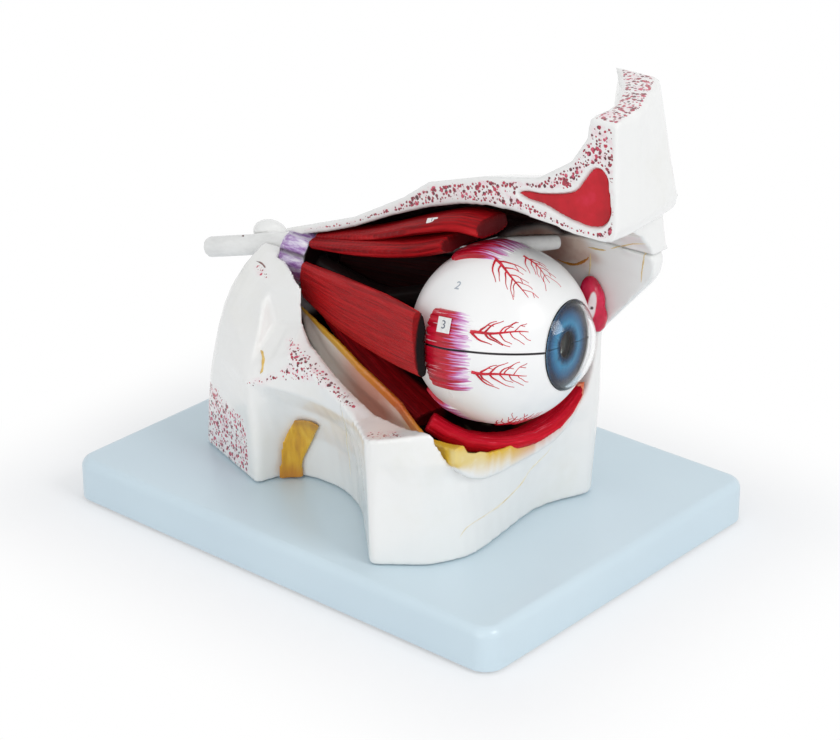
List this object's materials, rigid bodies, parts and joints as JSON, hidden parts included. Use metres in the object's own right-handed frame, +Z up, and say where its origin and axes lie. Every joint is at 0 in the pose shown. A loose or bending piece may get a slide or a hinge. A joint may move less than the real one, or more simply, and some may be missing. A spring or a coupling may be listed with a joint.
{
  "type": "eye anatomy model",
  "caption": "Classroom model of a right eye in a sectioned bony orbit on a stand. The eyeball pulls off its optic nerve plug and opens into its shells, vitreous body and lens.",
  "frame": {"origin": "centre of the stand's footprint at the level of the four feet's undersides", "axes": "+X is the front of the face and the long side of the stand, +Y is towards the nose, +Z is up"},
  "size_m": [0.26, 0.195, 0.2315],
  "materials": {
    "stand": "pale blue moulded plastic, satin",
    "foot": "plain rubber",
    "screw": "plain zinc-plated steel",
    "bone": "glossy white painted casting, cut faces speckled red",
    "sinus": "glossy red paint",
    "fat": "painted yellow, shading to orange and cream",
    "tendon": "painted lilac with purple strokes",
    "nerve": "glossy off-white paint",
    "muscle": "glossy red paint with darker streaks",
    "caruncle": "glossy crimson paint",
    "ochre": "ochre paint",
    "sclera": "glossy white with painted red vessels",
    "cornea": "clear polished plastic",
    "choroid": "dark red-brown paint",
    "iris": "painted blue with a navy rim",
    "vitreous": "clear cast plastic",
    "lens": "clear cast plastic"
  },
  "bodies": {
    "orbit": {"base_plate": "stand", "foot_1": "foot", "foot_2": "foot", "foot_3": "foot", "foot_4": "foot", "base_screw_1": "screw", "base_screw_2": "screw", "base_screw_3": "screw", "frontal_bone": "bone", "maxilla": "bone", "sphenoid": "bone", "frontal_sinus_lining": "sinus", "orbital_fat": "fat", "tendinous_ring": "tendon", "optic_nerve": "nerve", "superior_rectus": "muscle", "levator_palpebrae": "muscle", "lateral_rectus": "muscle", "medial_rectus": "muscle", "inferior_rectus": "muscle", "inferior_oblique": "muscle", "lacrimal_caruncle": "caruncle", "infraorbital_nerve": "ochre"},
    "sclera_lower_half": {"sclera_lower": "sclera"},
    "choroid_lower_half": {"choroid_lower": "choroid", "iris_lower": "iris"},
    "vitreous": {"vitreous_body": "vitreous", "lens": "lens"},
    "choroid_upper_half": {"choroid_upper": "choroid", "iris_upper": "iris"},
    "sclera_upper_half": {"sclera_upper": "sclera", "cornea": "cornea"}
  },
  "joints": [
    {"name": "eyeball_withdraw", "type": "slide", "parent": "orbit", "child": "sclera_lower_half", "axis": [0.9498, -0.3086, 0.0523], "range_m": [0, 0.2]},
    {"name": "choroid_lower_lift", "type": "slide", "parent": "sclera_lower_half", "child": "choroid_lower_half", "axis": [-0.1032, 0.1621, 0.9814], "range_m": [0, 0.01]},
    {"name": "vitreous_lift", "type": "slide", "parent": "choroid_lower_half", "child": "vitreous", "axis": [-0.1032, 0.1621, 0.9814], "range_m": [0, 0.01]},
    {"name": "choroid_upper_lift", "type": "slide", "parent": "vitreous", "child": "choroid_upper_half", "axis": [-0.1032, 0.1621, 0.9814], "range_m": [0, 0.01]},
    {"name": "sclera_upper_lift", "type": "slide", "parent": "choroid_upper_half", "child": "sclera_upper_half", "axis": [-0.1032, 0.1621, 0.9814], "range_m": [0, 0.01]}
  ],
  "couplings": [
    {"joint": "choroid_lower_lift", "follows": "eyeball_withdraw", "ratio": 0.05},
    {"joint": "vitreous_lift", "follows": "eyeball_withdraw", "ratio": 0.05},
    {"joint": "choroid_upper_lift", "follows": "eyeball_withdraw", "ratio": 0.05},
    {"joint": "sclera_upper_lift", "follows": "eyeball_withdraw", "ratio": 0.05}
  ]
}
